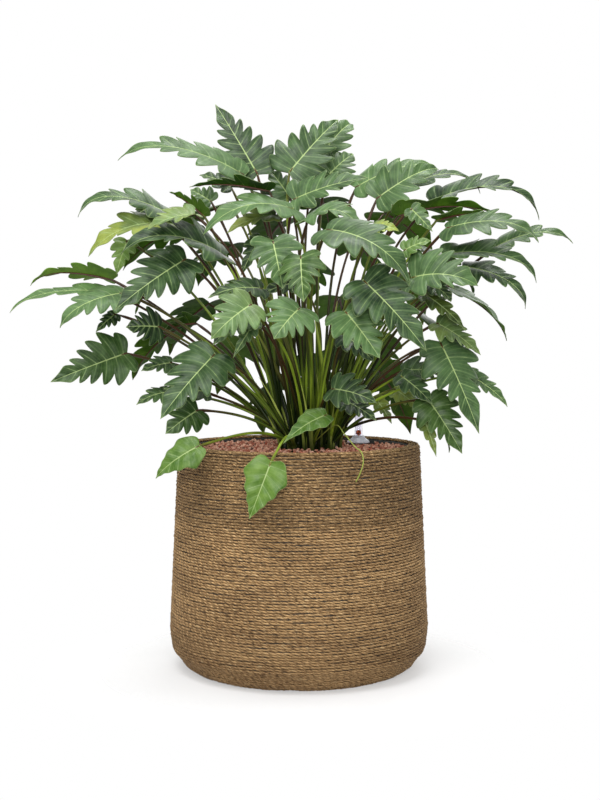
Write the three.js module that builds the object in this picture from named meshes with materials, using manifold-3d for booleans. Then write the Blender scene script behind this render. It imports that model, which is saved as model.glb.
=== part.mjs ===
import * as THREE from "three";
import { mergeVertices } from "three/addons/utils/BufferGeometryUtils.js";
import Module from "manifold-3d";

// A philodendron xanadu in a rope-wound planter, filled with clay granules and fitted with a water gauge.
// Millimetres, +Z up, the origin at the middle of the planter's flat base.

const wasm = await Module();
wasm.setup();

// Planter
const ROUND = 30;
const ROPE = 4;
const GAP = 0.3;
const LIP_R = 160;
const RIM_Z = 330;
const FLOOR = 14;
const FOOT_R = 148;
// Outside of the winding as radius and height, from its lowest turn up to the rim
const OUTSIDE = [[156, 1.5], [171, 11], [176, 19], [187, 32], [190.7, 60], [183.5, 210], [178, 326]];
// Inside of the core, from the middle of its floor up to its rim
const INSIDE = [[0, FLOOR], [152, FLOOR], [174, 56], [168, 245], [LIP_R, RIM_Z - ROPE - GAP]];

// Filling
const FILL_Z = 320;
const FILL_BUMP = 1.6;
const FILL_RINGS = [0, 75, 125];

// Water gauge
const GAUGE = new THREE.Vector2(92, 105);
const TUBE_R = 6;
const TUBE_BORE = 4.8;
const TUBE_SIDES = 10;
const ROD_R = 1.2;
const TUBE_FOOT = 20;
const TUBE_TOP = 381;
const COLLAR_R = 17.5;
const COLLAR_RISE = 11.5;
const FLOAT_R = 4.2;
const BOB_LENGTH = 40;
const BEAD_Z = 338;

// Crown: short stems on rings round the middle of the clump, each in a hole of its own
const CLUMP = new THREE.Vector3(16, 0, FILL_Z);
const STEM_RINGS = [[1, 0, 0], [5, 19, 0.3], [9, 38, 0.1]];
const STEM_R = 8;
const STEM_SUNK = 34;
const STEM_RISE = 16;
const STEM_SIDES = 6;
const FRONDS_A_STEM = 8;

// Fronds
const PETIOLE_R = 2.7;
const PETIOLE_SIDES = 3;
const PETIOLE_STEPS = 4;
const BLADE = 1;
const LOBE_TIP = 0.6;
const SINUS = 0.48;
const END_ROOM = 0.62;
const SEAT = 0.01;
const CLEAR = 0.4;
const HOOK = 0.12;
const FOLD = 0.3;
const DROOP = 0.3;
const WAVE = 0.12;
const STEM_CHOICES = 4;
const DEPTH_SHIFTS = [0, -14, 14, -28, 28, -42, 42, -60, 60, -80, 80];
const SIDE_BOWS = [0, 24, -24, 48, -48, 72, -72];

// Where the fronds are seen from: a lens 2 m in front of the planter's middle, 490 mm up
const EYE = new THREE.Vector3(0, -2000, 490);
const PIXELS_A_RADIAN = 1363;
const EYE_COLUMN = 299;
const EYE_ROW = 333;

const UP = new THREE.Vector3(0, 0, 1);

// Each frond: its name, the column and row where its blade starts and that depth in mm, the same for its
// tip, half its breadth in mm, its lobes a side, the turn of its face away from the eye in degrees, the
// rise of its midrib's arch and the curl of its tip as shares of its length
const FRONDS = [
  ["crown_a", [289, 173, 10], [338, 121, 55], 47, 5, 22, 0.04, 0.1],
  ["crown_b", [258, 175, 20], [216, 106, 70], 42, 5, 15, 0.03, 0],
  ["crown_c", [315, 162, 70], [351, 126, 100], 36, 4, 20, 0.08, 0.5],
  ["crown_d", [326, 178, 40], [353, 155, 60], 34, 4, 30, 0.06, 0.1],
  ["crown_e", [293, 200, -20], [368, 178, -40], 40, 4, 55, 0.05, 0],
  ["crown_f", [291, 199, 40], [269, 170, 60], 26, 3, 20, 0.05, 0],
  ["crown_g", [245, 176, -5], [119, 161, -40], 44, 5, 63, 0.13, 0.3],
  ["crown_h", [270, 191, 10], [190, 187, -5], 34, 4, 108, 0.06, 0],
  ["crown_i", [355, 188, 30], [432, 165, 40], 38, 4, 55, 0.08, 0.1],
  ["crown_j", [376, 199, 0], [438, 170, 20], 38, 4, 35, 0.1, 0.3],
  ["crown_k", [402, 190, 70], [479, 194, 90], 26, 3, 70, 0.2, 0.3],
  ["crown_l", [212, 202, 40], [191, 190, 55], 20, 3, 30, 0.05, 0],
  ["crown_m", [232, 188, 90], [200, 176, 105], 24, 3, 55, 0.08, 0],
  ["left_a", [173, 216, -10], [79, 217, -45], 36, 4, 63, 0.17, 0.5],
  ["left_b", [205, 216, 0], [170, 192, -10], 28, 4, 108, 0.05, 0],
  ["left_c", [168, 223, -40], [89, 256, -75], 40, 4, 60, 0.14, 0.1],
  ["left_d", [226, 256, -60], [121, 254, -115], 48, 4, 60, 0.17, 0.3],
  ["left_e", [187, 258, -90], [115, 309, -140], 46, 5, 33, 0.04, 0],
  ["left_f", [195, 214, -35], [148, 229, -60], 30, 4, 65, 0.08, 0],
  ["left_g", [128, 240, -10], [117, 274, -30], 20, 3, 20, 0.05, 0],
  ["left_h", [113, 279, -10], [31, 285, -40], 36, 4, 108, 0.1, 0.3],
  ["left_i", [112, 291, -40], [10, 312, -85], 26, 3, 66, 0.08, 0.3],
  ["left_j", [125, 292, -80], [60, 327, -125], 36, 4, 48, 0.12, 0.3],
  ["left_k", [160, 326, -70], [126, 326, -90], 28, 4, 20, 0.08, 0],
  ["left_l", [196, 322, 0], [163, 332, -15], 32, 4, 110, 0.08, 0],
  ["left_m", [127, 352, -50], [50, 381, -90], 40, 5, 15, 0.03, 0],
  ["left_n", [215, 353, -110], [160, 418, -160], 46, 4, 30, 0.04, 0],
  ["left_o", [198, 409, -70], [165, 433, -95], 30, 3, 20, 0.06, 0],
  ["left_p", [199, 445, -150], [155, 478, -150], 24, 0, 30, 0.1, 0.1],
  ["left_q", [150, 207, 10], [132, 219, 0], 12, 3, 30, 0.05, 0],
  ["left_r", [116, 313, -20], [96, 331, -35], 14, 3, 30, 0.05, 0],
  ["left_s", [172, 362, -30], [141, 370, -50], 22, 3, 50, 0.06, 0],
  ["left_t", [170, 391, -30], [136, 404, -50], 20, 3, 45, 0.1, 0.1],
  ["left_u", [208, 392, 0], [163, 388, -20], 24, 3, 50, 0.06, 0],
  ["front_a", [293, 209, -70], [203, 235, -125], 46, 4, 62, 0.17, 0.1],
  ["front_b", [308, 219, -80], [361, 228, -115], 40, 4, 66, 0.24, 0.1],
  ["front_c", [326, 229, -125], [410, 285, -170], 46, 4, 45, 0.17, 0.2],
  ["front_d", [273, 240, -150], [283, 288, -180], 36, 4, 5, 0.05, 0],
  ["front_e", [301, 255, -165], [304, 301, -195], 32, 4, -12, 0.05, 0],
  ["front_f", [363, 279, -180], [427, 350, -220], 46, 4, 30, 0.05, 0],
  ["front_g", [252, 303, -190], [211, 338, -210], 36, 4, 25, 0.1, 0],
  ["front_h", [300, 307, -190], [274, 338, -215], 38, 4, 20, 0.1, 0],
  ["front_i", [345, 310, -190], [380, 357, -215], 40, 4, 25, 0.05, 0],
  ["front_j", [332, 388, -130], [377, 402, -150], 30, 4, 35, 0.1, 0],
  ["front_k", [271, 461, -196], [249, 519, -200], 29, 0, 0, 0.03, 0],
  ["front_l", [327, 414, -135], [283, 443, -165], 20, 0, 35, 0.1, 0],
  ["front_m", [263, 288, -130], [208, 297, -155], 28, 4, 58, 0.1, 0],
  ["front_n", [248, 310, -140], [213, 344, -160], 28, 4, 30, 0.05, 0],
  ["front_o", [345, 334, -120], [374, 361, -135], 26, 3, 35, 0.06, 0],
  ["front_p", [300, 281, -20], [262, 293, -40], 22, 3, 40, 0.06, 0],
  ["front_q", [276, 215, -40], [227, 233, -65], 26, 3, 58, 0.1, 0],
  ["front_r", [262, 236, -60], [241, 275, -75], 18, 3, 25, 0.05, 0],
  ["front_s", [372, 229, -60], [399, 231, -75], 16, 3, 40, 0.2, 0.1],
  ["front_t", [345, 400, -90], [377, 420, -105], 22, 3, 45, 0.06, 0],
  ["front_u", [256, 320, -150], [233, 357, -165], 14, 3, 25, 0.04, 0],
  ["right_a", [397, 216, -20], [496, 214, -40], 44, 4, 111, 0.1, 0],
  ["right_b", [430, 202, 0], [538, 220, -25], 40, 5, 68, 0.2, 0.4],
  ["right_c", [436, 220, -10], [496, 216, -35], 28, 4, 104, 0.08, 0],
  ["right_d", [446, 228, -45], [538, 242, -75], 42, 4, 62, 0.14, 0.3],
  ["right_e", [491, 249, -20], [572, 243, -40], 30, 4, 62, 0.15, 0.3],
  ["right_f", [442, 254, -70], [536, 282, -100], 36, 4, 62, 0.14, 0.4],
  ["right_g", [412, 277, -120], [478, 285, -150], 46, 4, 42, 0.15, 0.1],
  ["right_h", [462, 266, -60], [525, 308, -85], 30, 4, 55, 0.16, 0.4],
  ["right_i", [440, 341, -110], [480, 433, -150], 42, 4, 28, 0.04, 0],
  ["right_j", [428, 398, -90], [463, 453, -110], 34, 4, 20, 0.05, 0],
  ["right_k", [424, 293, -90], [466, 330, -110], 20, 3, 45, 0.06, 0],
  ["right_l", [436, 322, -80], [481, 354, -100], 28, 4, 50, 0.06, 0],
  ["right_m", [402, 370, -60], [454, 374, -75], 28, 4, 45, 0.08, 0],
  ["right_n", [401, 375, -95], [433, 404, -110], 24, 3, 40, 0.06, 0],
  ["right_o", [466, 372, -70], [508, 406, -90], 20, 3, 45, 0.06, 0.2],
  ["right_p", [425, 420, -95], [437, 456, -100], 12, 2, 20, 0.05, 0],
  ["right_q", [410, 208, -40], [432, 231, -50], 16, 3, 25, 0.04, 0],
  ["right_r", [404, 250, -100], [431, 240, -105], 18, 3, 45, 0.08, 0],
  ["right_s", [428, 281, -95], [451, 301, -105], 22, 3, 50, 0.06, 0.2],
  ["right_t", [394, 388, -50], [421, 409, -60], 18, 3, 35, 0.06, 0],
  ["right_u", [376, 398, -60], [392, 423, -70], 14, 3, 30, 0.05, 0],
];
// Fronds on the far side, spread by rule: how many, and the golden share that spreads their headings
const FAR_FRONDS = 26;
const GOLDEN = 0.618;

// The root that hangs over the front of the rim, point by point
const ROOT_PATH = [[50, -92, 362], [62, -140, 354], [76, -166, 338], [84, -183, 332], [86, -188, 318],
  [81, -187, 302], [76, -186, 292]];
const ROOT_R = 1;

const COLOURS = {
  core: 0x4a4a48, rope: 0xb08a58, granules: 0xb5695a,
  collar: 0xc9c9d6, tube: 0xe4ecec, float: 0xb5361f, leaf: 0x5f7f66,
};

const part = new THREE.Group();

function place(name, geometry, colour, roughness) {
  const finish = new THREE.MeshStandardMaterial({ color: colour, roughness, metalness: 0 });
  const mesh = new THREE.Mesh(geometry, finish);
  mesh.name = name;
  part.add(mesh);
}

// A closed geometry as a solid, its shared vertices merged, its faces pointing out
function solidOf(geometry) {
  const bare = new THREE.BufferGeometry();
  bare.setAttribute("position", geometry.getAttribute("position").clone());
  if (geometry.index) bare.setIndex(geometry.index.clone());
  const merged = mergeVertices(bare, 1e-3);
  const points = merged.getAttribute("position").array;
  const index = merged.index.array;
  const corner = (i) => new THREE.Vector3().fromArray(points, 3 * i);
  const faces = [];
  let volume = 0;
  for (let i = 0; i < index.length; i += 3) {
    const [a, b, c] = [index[i], index[i + 1], index[i + 2]];
    if (a === b || b === c || c === a) continue;
    faces.push([a, b, c]);
    volume += corner(a).dot(corner(b).cross(corner(c)));
  }
  const triVerts = new Uint32Array((volume < 0 ? faces.map(([a, b, c]) => [a, c, b]) : faces).flat());
  return new wasm.Manifold(new wasm.Mesh({ numProp: 3, vertProperties: new Float32Array(points), triVerts }));
}

function geometryOf(solid) {
  const { vertProperties, triVerts } = solid.getMesh();
  const geometry = new THREE.BufferGeometry();
  geometry.setAttribute("position", new THREE.BufferAttribute(new Float32Array(vertProperties), 3));
  geometry.setIndex(new THREE.BufferAttribute(new Uint32Array(triVerts), 1));
  return geometry;
}

// A profile of radius and height pairs turned round the upright axis at (x, y)
function turned(profile, segments, x = 0, y = 0) {
  const points = profile.map(([r, z]) => new THREE.Vector2(r, z));
  return new THREE.LatheGeometry(points, segments).rotateX(Math.PI / 2).translate(x, y, 0);
}

// A steady draw between 0 and 1 for frond i, trait k
function draw(i, k) {
  const raw = Math.sin(i * 12.9898 + k * 78.233) * 43758.5453;
  return raw - Math.floor(raw);
}

// Planter: a moulded core with the rope laid round its side and over its rim
function inset(profile, depth) {
  return profile.map(([r, z]) => [r - depth, z]);
}

function planterCore() {
  const top = RIM_Z - ROPE - GAP;
  const side = inset(OUTSIDE, ROPE + GAP);
  const outer = [[0, 0], [FOOT_R, 0], ...side.slice(0, -1), [side.at(-1)[0], top]];
  return geometryOf(solidOf(turned([...outer, ...INSIDE.toReversed()], ROUND)));
}

function ropeWinding() {
  const under = RIM_Z - ROPE;
  const outer = [...OUTSIDE.slice(0, -1), [OUTSIDE.at(-1)[0], RIM_Z - 2], [OUTSIDE.at(-1)[0] - 2, RIM_Z]];
  const lip = [[LIP_R + 1, RIM_Z], [LIP_R, RIM_Z - 1], [LIP_R, under]];
  const inner = [...inset(OUTSIDE, ROPE).slice(0, -1), [OUTSIDE.at(-1)[0] - ROPE, under]].toReversed();
  return geometryOf(solidOf(turned([...outer, ...lip, ...inner, outer[0]], ROUND)));
}

function gaugePiece(profile) {
  return geometryOf(solidOf(turned(profile, TUBE_SIDES, GAUGE.x, GAUGE.y)));
}

// Water gauge: a clear tube closed at the top, with an inner lip at its foot that the float rests on
function gaugeTube() {
  const outer = [[TUBE_R, TUBE_FOOT], [TUBE_R, TUBE_TOP - 4], [TUBE_R - 2, TUBE_TOP - 1], [0, TUBE_TOP]];
  const inner = [[TUBE_BORE - 1.3, TUBE_FOOT], [TUBE_BORE - 1.3, TUBE_FOOT + 3], [TUBE_BORE, TUBE_FOOT + 3],
    [TUBE_BORE, TUBE_TOP - 4], [0, TUBE_TOP - 3]];
  return gaugePiece([...outer, ...inner.toReversed(), outer[0]]);
}

function gaugeFloat() {
  const low = TUBE_FOOT + 3 + GAP;
  const bead = FLOAT_R - 0.4;
  const profile = [[0, low], [FLOAT_R - 1, low], [FLOAT_R, low + 2], [FLOAT_R, low + BOB_LENGTH],
    [ROD_R, low + BOB_LENGTH + 3], [ROD_R, BEAD_Z - 6],
    [bead, BEAD_Z - 3], [bead, BEAD_Z + 3], [0, BEAD_Z + 6]];
  return gaugePiece(profile);
}

function gaugeCollar() {
  const low = FILL_Z + FILL_BUMP + GAP;
  const bore = TUBE_R + GAP + 0.1;
  const high = low + COLLAR_RISE;
  const outer = [[COLLAR_R, low], [COLLAR_R, low + 2], [bore + 4, high - 4], [bore + 2, high]];
  const inner = [[bore, low], [bore, high]];
  return gaugePiece([...outer, ...inner.toReversed(), outer[0]]);
}

// Crown: where each stem stands
function stemSpots() {
  return STEM_RINGS.flatMap(([count, radius, start]) => Array.from({ length: count }, (_, i) => {
    const angle = 2 * Math.PI * (start + i / count);
    return new THREE.Vector2(CLUMP.x + radius * Math.cos(angle), CLUMP.y + radius * Math.sin(angle));
  }));
}

function stem(spot) {
  const low = FILL_Z - STEM_SUNK;
  const profile = [[0, low], [STEM_R - 2, low], [STEM_R, FILL_Z], [STEM_R, FILL_Z + 6],
    [STEM_R - 4, FILL_Z + STEM_RISE], [0, FILL_Z + STEM_RISE + 1]];
  return solidOf(turned(profile, STEM_SIDES, spot.x, spot.y));
}

// Granules: a bumpy top, with a plain hole for every stem and for the gauge
function granules(spots) {
  const points = [];
  const radii = [...FILL_RINGS, LIP_R - GAP];
  radii.forEach((r, i) => {
    for (let j = 0; j < ROUND; j += 1) {
      const angle = (2 * Math.PI * j) / ROUND;
      const bump = r > 0 && i < radii.length - 1 ? FILL_BUMP * (2 * draw(i, j) - 1) : 0;
      points.push([r * Math.sin(angle), -r * Math.cos(angle), FILL_Z + bump]);
    }
  });
  INSIDE.slice(0, -1).toReversed().forEach(([r, z]) => {
    for (let j = 0; j < ROUND; j += 1) {
      const angle = (2 * Math.PI * j) / ROUND;
      const inner = Math.max(0, r - GAP);
      points.push([inner * Math.sin(angle), -inner * Math.cos(angle), z + (z === FLOOR ? GAP : 0)]);
    }
  });
  const faces = [];
  for (let i = 0; i + 1 < points.length / ROUND; i += 1) {
    for (let j = 0; j < ROUND; j += 1) {
      const [a, b] = [i * ROUND + j, i * ROUND + ((j + 1) % ROUND)];
      faces.push(a, a + ROUND, b + ROUND, a, b + ROUND, b);
    }
  }
  const geometry = new THREE.BufferGeometry();
  geometry.setAttribute("position", new THREE.Float32BufferAttribute(points.flat(), 3));
  geometry.setIndex(faces);
  let fill = solidOf(geometry);
  for (const spot of spots) {
    const low = FILL_Z - STEM_SUNK - GAP;
    const hole = [[0, low], [STEM_R - 2 + GAP, low], [STEM_R + GAP, FILL_Z],
      [STEM_R + GAP, FILL_Z + 9], [0, FILL_Z + 9]];
    fill = fill.subtract(solidOf(turned(hole, STEM_SIDES, spot.x, spot.y)));
  }
  const bore = TUBE_R + GAP + 0.1;
  const hole = [[0, TUBE_FOOT - GAP], [bore, TUBE_FOOT - GAP], [bore, FILL_Z + 9], [0, FILL_Z + 9]];
  return geometryOf(fill.subtract(solidOf(turned(hole, TUBE_SIDES, GAUGE.x, GAUGE.y))));
}

// Fronds: where the eye sees a column and row at a depth
function seen([column, row, depth], shift) {
  const reach = (depth + shift - EYE.y) / PIXELS_A_RADIAN;
  return new THREE.Vector3((column - EYE_COLUMN) * reach, depth + shift, EYE.z - (row - EYE_ROW) * reach);
}

// The midrib, and the frame that the blade is laid out in: along it, across it and out of its face
function bladeFrame(name, index, start, end, normal, [breadth, lobes, arch, curl]) {
  const along = end.clone().sub(start);
  const length = along.length();
  along.normalize();
  normal.addScaledVector(along, -normal.dot(along)).normalize();
  const handle = (far, rise) => start.clone().addScaledVector(along, far * length)
    .addScaledVector(normal, rise * length);
  const first = handle(0.33, 1.33 * arch);
  const second = handle(0.7 + 0.4 * curl, 1.33 * arch + 0.35 * curl);
  const rib = new THREE.CubicBezierCurve3(start, first, second, end);
  const across = along.clone().cross(normal);
  return { name, index, start, along, across, rib, length: rib.getLength(), breadth, lobes };
}

function seenFrond([name, base, tip, breadth, lobes, face, arch, curl], index, shift) {
  const start = seen(base, shift);
  const end = seen(tip, shift);
  const along = end.clone().sub(start).normalize();
  const toEye = EYE.clone().sub(start);
  toEye.addScaledVector(along, -toEye.dot(along)).normalize();
  const side = along.clone().cross(toEye);
  if (side.z + 0.3 * side.x < 0) side.negate();
  const turn = THREE.MathUtils.degToRad(face);
  const normal = toEye.multiplyScalar(Math.cos(turn)).addScaledVector(side, Math.sin(turn));
  return bladeFrame(name, index, start, end, normal, [breadth, lobes, arch, curl]);
}

function farFrond(i, shift) {
  const index = FRONDS.length + i;
  const heading = Math.PI * (0.06 + 0.88 * ((i * GOLDEN) % 1));
  const out = new THREE.Vector3(Math.cos(heading), Math.sin(heading), 0);
  const level = (i + 0.5) / FAR_FRONDS;
  const away = 100 + 115 * Math.sin(Math.PI * (0.1 + 0.8 * level)) + shift;
  const start = CLUMP.clone().addScaledVector(out, away);
  start.z += 85 + 300 * level;
  const dip = 0.95 - 0.5 * level;
  const length = 115 + 35 * draw(index, 4);
  const end = start.clone().addScaledVector(out, length * Math.cos(dip));
  end.z -= length * Math.sin(dip);
  const aside = new THREE.Vector3(-out.y, out.x, 0);
  const normal = UP.clone().addScaledVector(out, 0.2).addScaledVector(aside, draw(index, 5) - 0.5);
  return bladeFrame(`far_${i + 1}`, index, start, end, normal, [45, 3, 0.1, 0.1]);
}

// Where the notches end, as a share of the side veins: the more lobes, the shorter the leaf's end lobe
function lobedTo(lobes) {
  return 0.34 + 0.055 * Math.max(lobes, 3);
}

// How deep the edge is cut at a place among the lobes: 0 at a lobe's tip, 1 in the notch before the next
function notch(place, lobes) {
  if (place < LOBE_TIP || place > lobes + LOBE_TIP) return 0;
  const share = place % 1;
  return share < LOBE_TIP ? (1 - share / LOBE_TIP) ** 2 : ((share - LOBE_TIP) / (1 - LOBE_TIP)) ** 1.7;
}

// One side vein: how far along the midrib it leaves, its angle and its length out to the leaf's edge
function vein(frond, q) {
  const foot = q ** 1.15;
  const angle = THREE.MathUtils.degToRad(26 + 60 * (1 - q) ** 1.1 + 40 * (1 - q) ** 8);
  const full = frond.breadth * 1.25 * Math.min(1, q / 0.2) ** 0.35 * (1 - q ** 1.2);
  const place = (frond.lobes * q) / lobedTo(frond.lobes);
  const cut = notch(place, frond.lobes);
  const room = (END_ROOM * (1 - foot) * frond.length) / Math.cos(Math.min(angle, 1.25));
  const reach = (full * room) / (full ** 5 + room ** 5 + 1e-9) ** 0.2;
  return { foot, angle, place, cut, reach: reach * (1 - SINUS * Math.min(1, 0.35 + 0.25 * place) * cut) };
}

// A point of the blade at share t of the way out along a vein, lifted off the middle of its thickness
function bladePoint(frond, q, t, side, lift) {
  const { foot, angle, place, cut, reach } = vein(frond, q);
  const out = reach * t;
  const x = foot + (out * Math.cos(angle) + HOOK * out * t * (1 - cut)) / frond.length;
  const y = out * Math.sin(angle);
  const held = THREE.MathUtils.clamp(x, 0, 1);
  const tangent = frond.rib.getTangent(held);
  const normal = frond.across.clone().cross(tangent);
  const k = y / frond.breadth;
  const phase = 6.28 * draw(frond.index, 1) + side;
  const fold = FOLD * (0.6 + 0.8 * draw(frond.index, 2));
  const droop = DROOP * (0.6 + 0.8 * draw(frond.index, 3));
  const height = fold * y + frond.breadth * k * k * (WAVE * Math.sin(2.1 * place + phase) - droop);
  const slope = side * (fold - 2 * droop * k);
  const off = normal.clone().addScaledVector(frond.across, -slope).normalize();
  return frond.rib.getPoint(held).addScaledVector(tangent, (x - held) * frond.length)
    .addScaledVector(frond.across, side * y).addScaledVector(normal, height).addScaledVector(off, lift);
}

function bladeSolid(frond, grow) {
  const lift = BLADE / 2 + grow;
  const shape = { ...frond, breadth: frond.breadth + grow };
  const lobes = Math.max(frond.lobes, 3);
  const at = (place) => (lobedTo(lobes) * place) / lobes;
  const tips = Array.from({ length: lobes }, (_, i) => i + LOBE_TIP);
  const feet = [0, ...tips.map(at), 1];
  const rim = [0, ...tips.flatMap((tip, i) => [at(tip), at(i + 1)]), at(lobes + LOBE_TIP), 1];
  const points = [];
  const add = (q, t, side) => {
    points.push(bladePoint(shape, q, t, side, lift), bladePoint(shape, q, t, side, -lift));
    return points.length / 2 - 1;
  };
  const rib = feet.map((q) => add(q, 0, 1));
  const faces = [];
  for (const side of [1, -1]) {
    const edge = [rib[0], ...rim.slice(1, -1).map((q) => add(q, 1, side)), rib.at(-1)];
    const face = (a, b, c) => faces.push(...(side > 0 ? [a, b, c] : [a, c, b]));
    let i = 0;
    for (let j = 0; j + 1 < edge.length; j += 1) {
      for (; i + 2 < feet.length && feet[i + 1] <= rim[j]; i += 1) {
        face(2 * rib[i], 2 * edge[j], 2 * rib[i + 1]);
        face(2 * rib[i] + 1, 2 * rib[i + 1] + 1, 2 * edge[j] + 1);
      }
      face(2 * rib[i], 2 * edge[j], 2 * edge[j + 1]);
      face(2 * rib[i] + 1, 2 * edge[j + 1] + 1, 2 * edge[j] + 1);
      face(2 * edge[j + 1], 2 * edge[j], 2 * edge[j] + 1);
      face(2 * edge[j + 1], 2 * edge[j] + 1, 2 * edge[j + 1] + 1);
    }
  }
  const geometry = new THREE.BufferGeometry();
  geometry.setAttribute("position", new THREE.Float32BufferAttribute(points.flatMap((p) => p.toArray()), 3));
  geometry.setIndex(faces);
  return solidOf(geometry);
}

// Petioles: they rise out of a stem, lean out and meet the blade at its base
function petioleCurve(frond, spot, bow) {
  const root = new THREE.Vector3(spot.x, spot.y, FILL_Z + STEM_RISE - 9);
  const out = frond.start.clone().sub(root);
  const reach = out.length();
  out.normalize();
  root.addScaledVector(new THREE.Vector3(out.x, out.y, 0), 3);
  const swing = new THREE.Vector3(-out.y, out.x, 0).normalize();
  const rise = out.clone().multiplyScalar(0.7).addScaledVector(UP, 0.45).normalize();
  const entry = out.clone().multiplyScalar(0.9).addScaledVector(frond.along, 0.3).addScaledVector(UP, -0.1);
  entry.normalize();
  const low = root.clone().addScaledVector(rise, 0.38 * reach).addScaledVector(swing, 0.5 * bow);
  const high = frond.start.clone().addScaledVector(entry, -0.3 * reach).addScaledVector(swing, bow);
  return new THREE.CubicBezierCurve3(root, low, high, frond.rib.getPointAt(SEAT));
}

function sweptRound(curve, radius, sides, steps) {
  const outline = new THREE.Shape(Array.from({ length: sides }, (_, i) => {
    const angle = (2 * Math.PI * (i + 0.5)) / sides;
    return new THREE.Vector2(radius * Math.cos(angle), radius * Math.sin(angle));
  }));
  return solidOf(new THREE.ExtrudeGeometry(outline, { steps, extrudePath: curve, bevelEnabled: false }));
}

function petiole(frond, spot, bow, grow) {
  return sweptRound(petioleCurve(frond, spot, bow), PETIOLE_R + grow, PETIOLE_SIDES, PETIOLE_STEPS);
}

function meets(a, b) {
  const [p, q] = [a.boundingBox(), b.boundingBox()];
  if ([0, 1, 2].some((k) => p.min[k] > q.max[k] || q.min[k] > p.max[k])) return false;
  return !a.intersect(b).isEmpty();
}

// Stems in the order of how well they suit a frond that leans that far out
function stemsFor(frond) {
  const lean = new THREE.Vector2(frond.start.x - CLUMP.x, frond.start.y - CLUMP.y);
  const aim = lean.clone().normalize().multiplyScalar(54 * Math.min(1, lean.length() / 190));
  const far = (shoot) => Math.hypot(shoot.spot.x - CLUMP.x - aim.x, shoot.spot.y - CLUMP.y - aim.y);
  return [...stems].sort((a, b) => far(a) - far(b)).slice(0, STEM_CHOICES);
}

// A frond is moved a little along the eye's line, and its petiole bowed, until it touches nothing
function settle(row) {
  for (const shoot of stemsFor(row(0))) {
    if (shoot.blades.length >= FRONDS_A_STEM) continue;
    const others = stems.filter((other) => other !== shoot);
    const standing = others.flatMap(({ stalks, blades }) => [...stalks, ...blades]);
    const round = [...steady, ...standing, ...shoot.blades];
    for (const shift of DEPTH_SHIFTS) {
      const frond = row(shift);
      const fatBlade = bladeSolid(frond, CLEAR);
      if ([...round, ...shoot.stalks].some((piece) => meets(fatBlade, piece))) continue;
      const bow = SIDE_BOWS.find((bend) => {
        const fatPetiole = petiole(frond, shoot.spot, bend, CLEAR);
        return !round.some((piece) => meets(fatPetiole, piece));
      });
      if (bow === undefined) continue;
      shoot.blades.push(bladeSolid(frond, 0));
      shoot.stalks.push(petiole(frond, shoot.spot, bow, 0));
      return true;
    }
  }
  return false;
}

// The hanging root grows out of the stem nearest to it
function growRoot() {
  const [first] = ROOT_PATH;
  const far = ({ spot }) => Math.hypot(spot.x - first[0], spot.y - first[1]);
  const shoot = stems.reduce((best, other) => (far(other) < far(best) ? other : best));
  const start = new THREE.Vector3(shoot.spot.x, shoot.spot.y, FILL_Z + STEM_RISE - 4);
  const path = new THREE.CatmullRomCurve3([start, ...ROOT_PATH.map((point) => new THREE.Vector3(...point))]);
  shoot.stalks.push(sweptRound(path, ROOT_R, PETIOLE_SIDES, 2 * ROOT_PATH.length));
}

const spots = stemSpots();
place("planter_core", planterCore(), COLOURS.core, 0.8);
place("rope_winding", ropeWinding(), COLOURS.rope, 0.9);
place("gauge_tube", gaugeTube(), COLOURS.tube, 0.1);
place("gauge_float", gaugeFloat(), COLOURS.float, 0.5);
place("gauge_collar", gaugeCollar(), COLOURS.collar, 0.5);
place("clay_granules", granules(spots), COLOURS.granules, 0.95);

const stems = spots.map((spot, i) => {
  const name = `shoot_${String(i + 1).padStart(2, "0")}`;
  return { name, spot, stalks: [stem(spot)], blades: [] };
});
const steady = part.children.map((mesh) => solidOf(mesh.geometry));
const rows = [...FRONDS.map((row, i) => (shift) => seenFrond(row, i, shift)),
  ...Array.from({ length: FAR_FRONDS }, (_, i) => (shift) => farFrond(i, shift))];
growRoot();
for (const row of rows) {
  if (!settle(row)) throw new Error(`no room for ${row(0).name}`);
}
for (const shoot of stems) {
  const [body, ...rest] = [...shoot.stalks, ...shoot.blades];
  place(shoot.name, geometryOf(rest.reduce((sum, piece) => sum.add(piece), body)), COLOURS.leaf, 0.5);
}
export default part;
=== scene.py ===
import math
import random

import bmesh
import bpy
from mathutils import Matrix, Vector
from mathutils.kdtree import KDTree


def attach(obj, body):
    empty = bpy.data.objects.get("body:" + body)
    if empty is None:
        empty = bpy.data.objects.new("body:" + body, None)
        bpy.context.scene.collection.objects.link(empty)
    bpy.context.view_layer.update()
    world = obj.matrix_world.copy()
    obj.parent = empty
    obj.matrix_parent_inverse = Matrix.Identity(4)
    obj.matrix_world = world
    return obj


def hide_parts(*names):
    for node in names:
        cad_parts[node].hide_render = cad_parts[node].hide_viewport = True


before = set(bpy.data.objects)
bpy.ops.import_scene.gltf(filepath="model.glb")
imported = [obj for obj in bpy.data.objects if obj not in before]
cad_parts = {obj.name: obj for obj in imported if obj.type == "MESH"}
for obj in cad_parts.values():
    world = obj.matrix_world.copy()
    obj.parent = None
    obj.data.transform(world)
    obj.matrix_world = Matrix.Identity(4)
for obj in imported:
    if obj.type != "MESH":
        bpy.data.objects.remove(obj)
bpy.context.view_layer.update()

# A philodendron xanadu in a rope-wound planter filled with clay granules, with a water gauge.
# Lengths are worked out in millimetres and written to the meshes in metres.

MM = 0.001
UP = Vector((0, 0, 1))

# Camera: level with the leaves and tipped a little down, as far off as its pixels say
CAMERA_SIDE = 1.5
CAMERA_AWAY = 2040
CAMERA_UP = 495
CAMERA_TIP = 2.86
CAMERA_PIXELS_A_RADIAN = 1390
PICTURE_ROWS = 800

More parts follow.
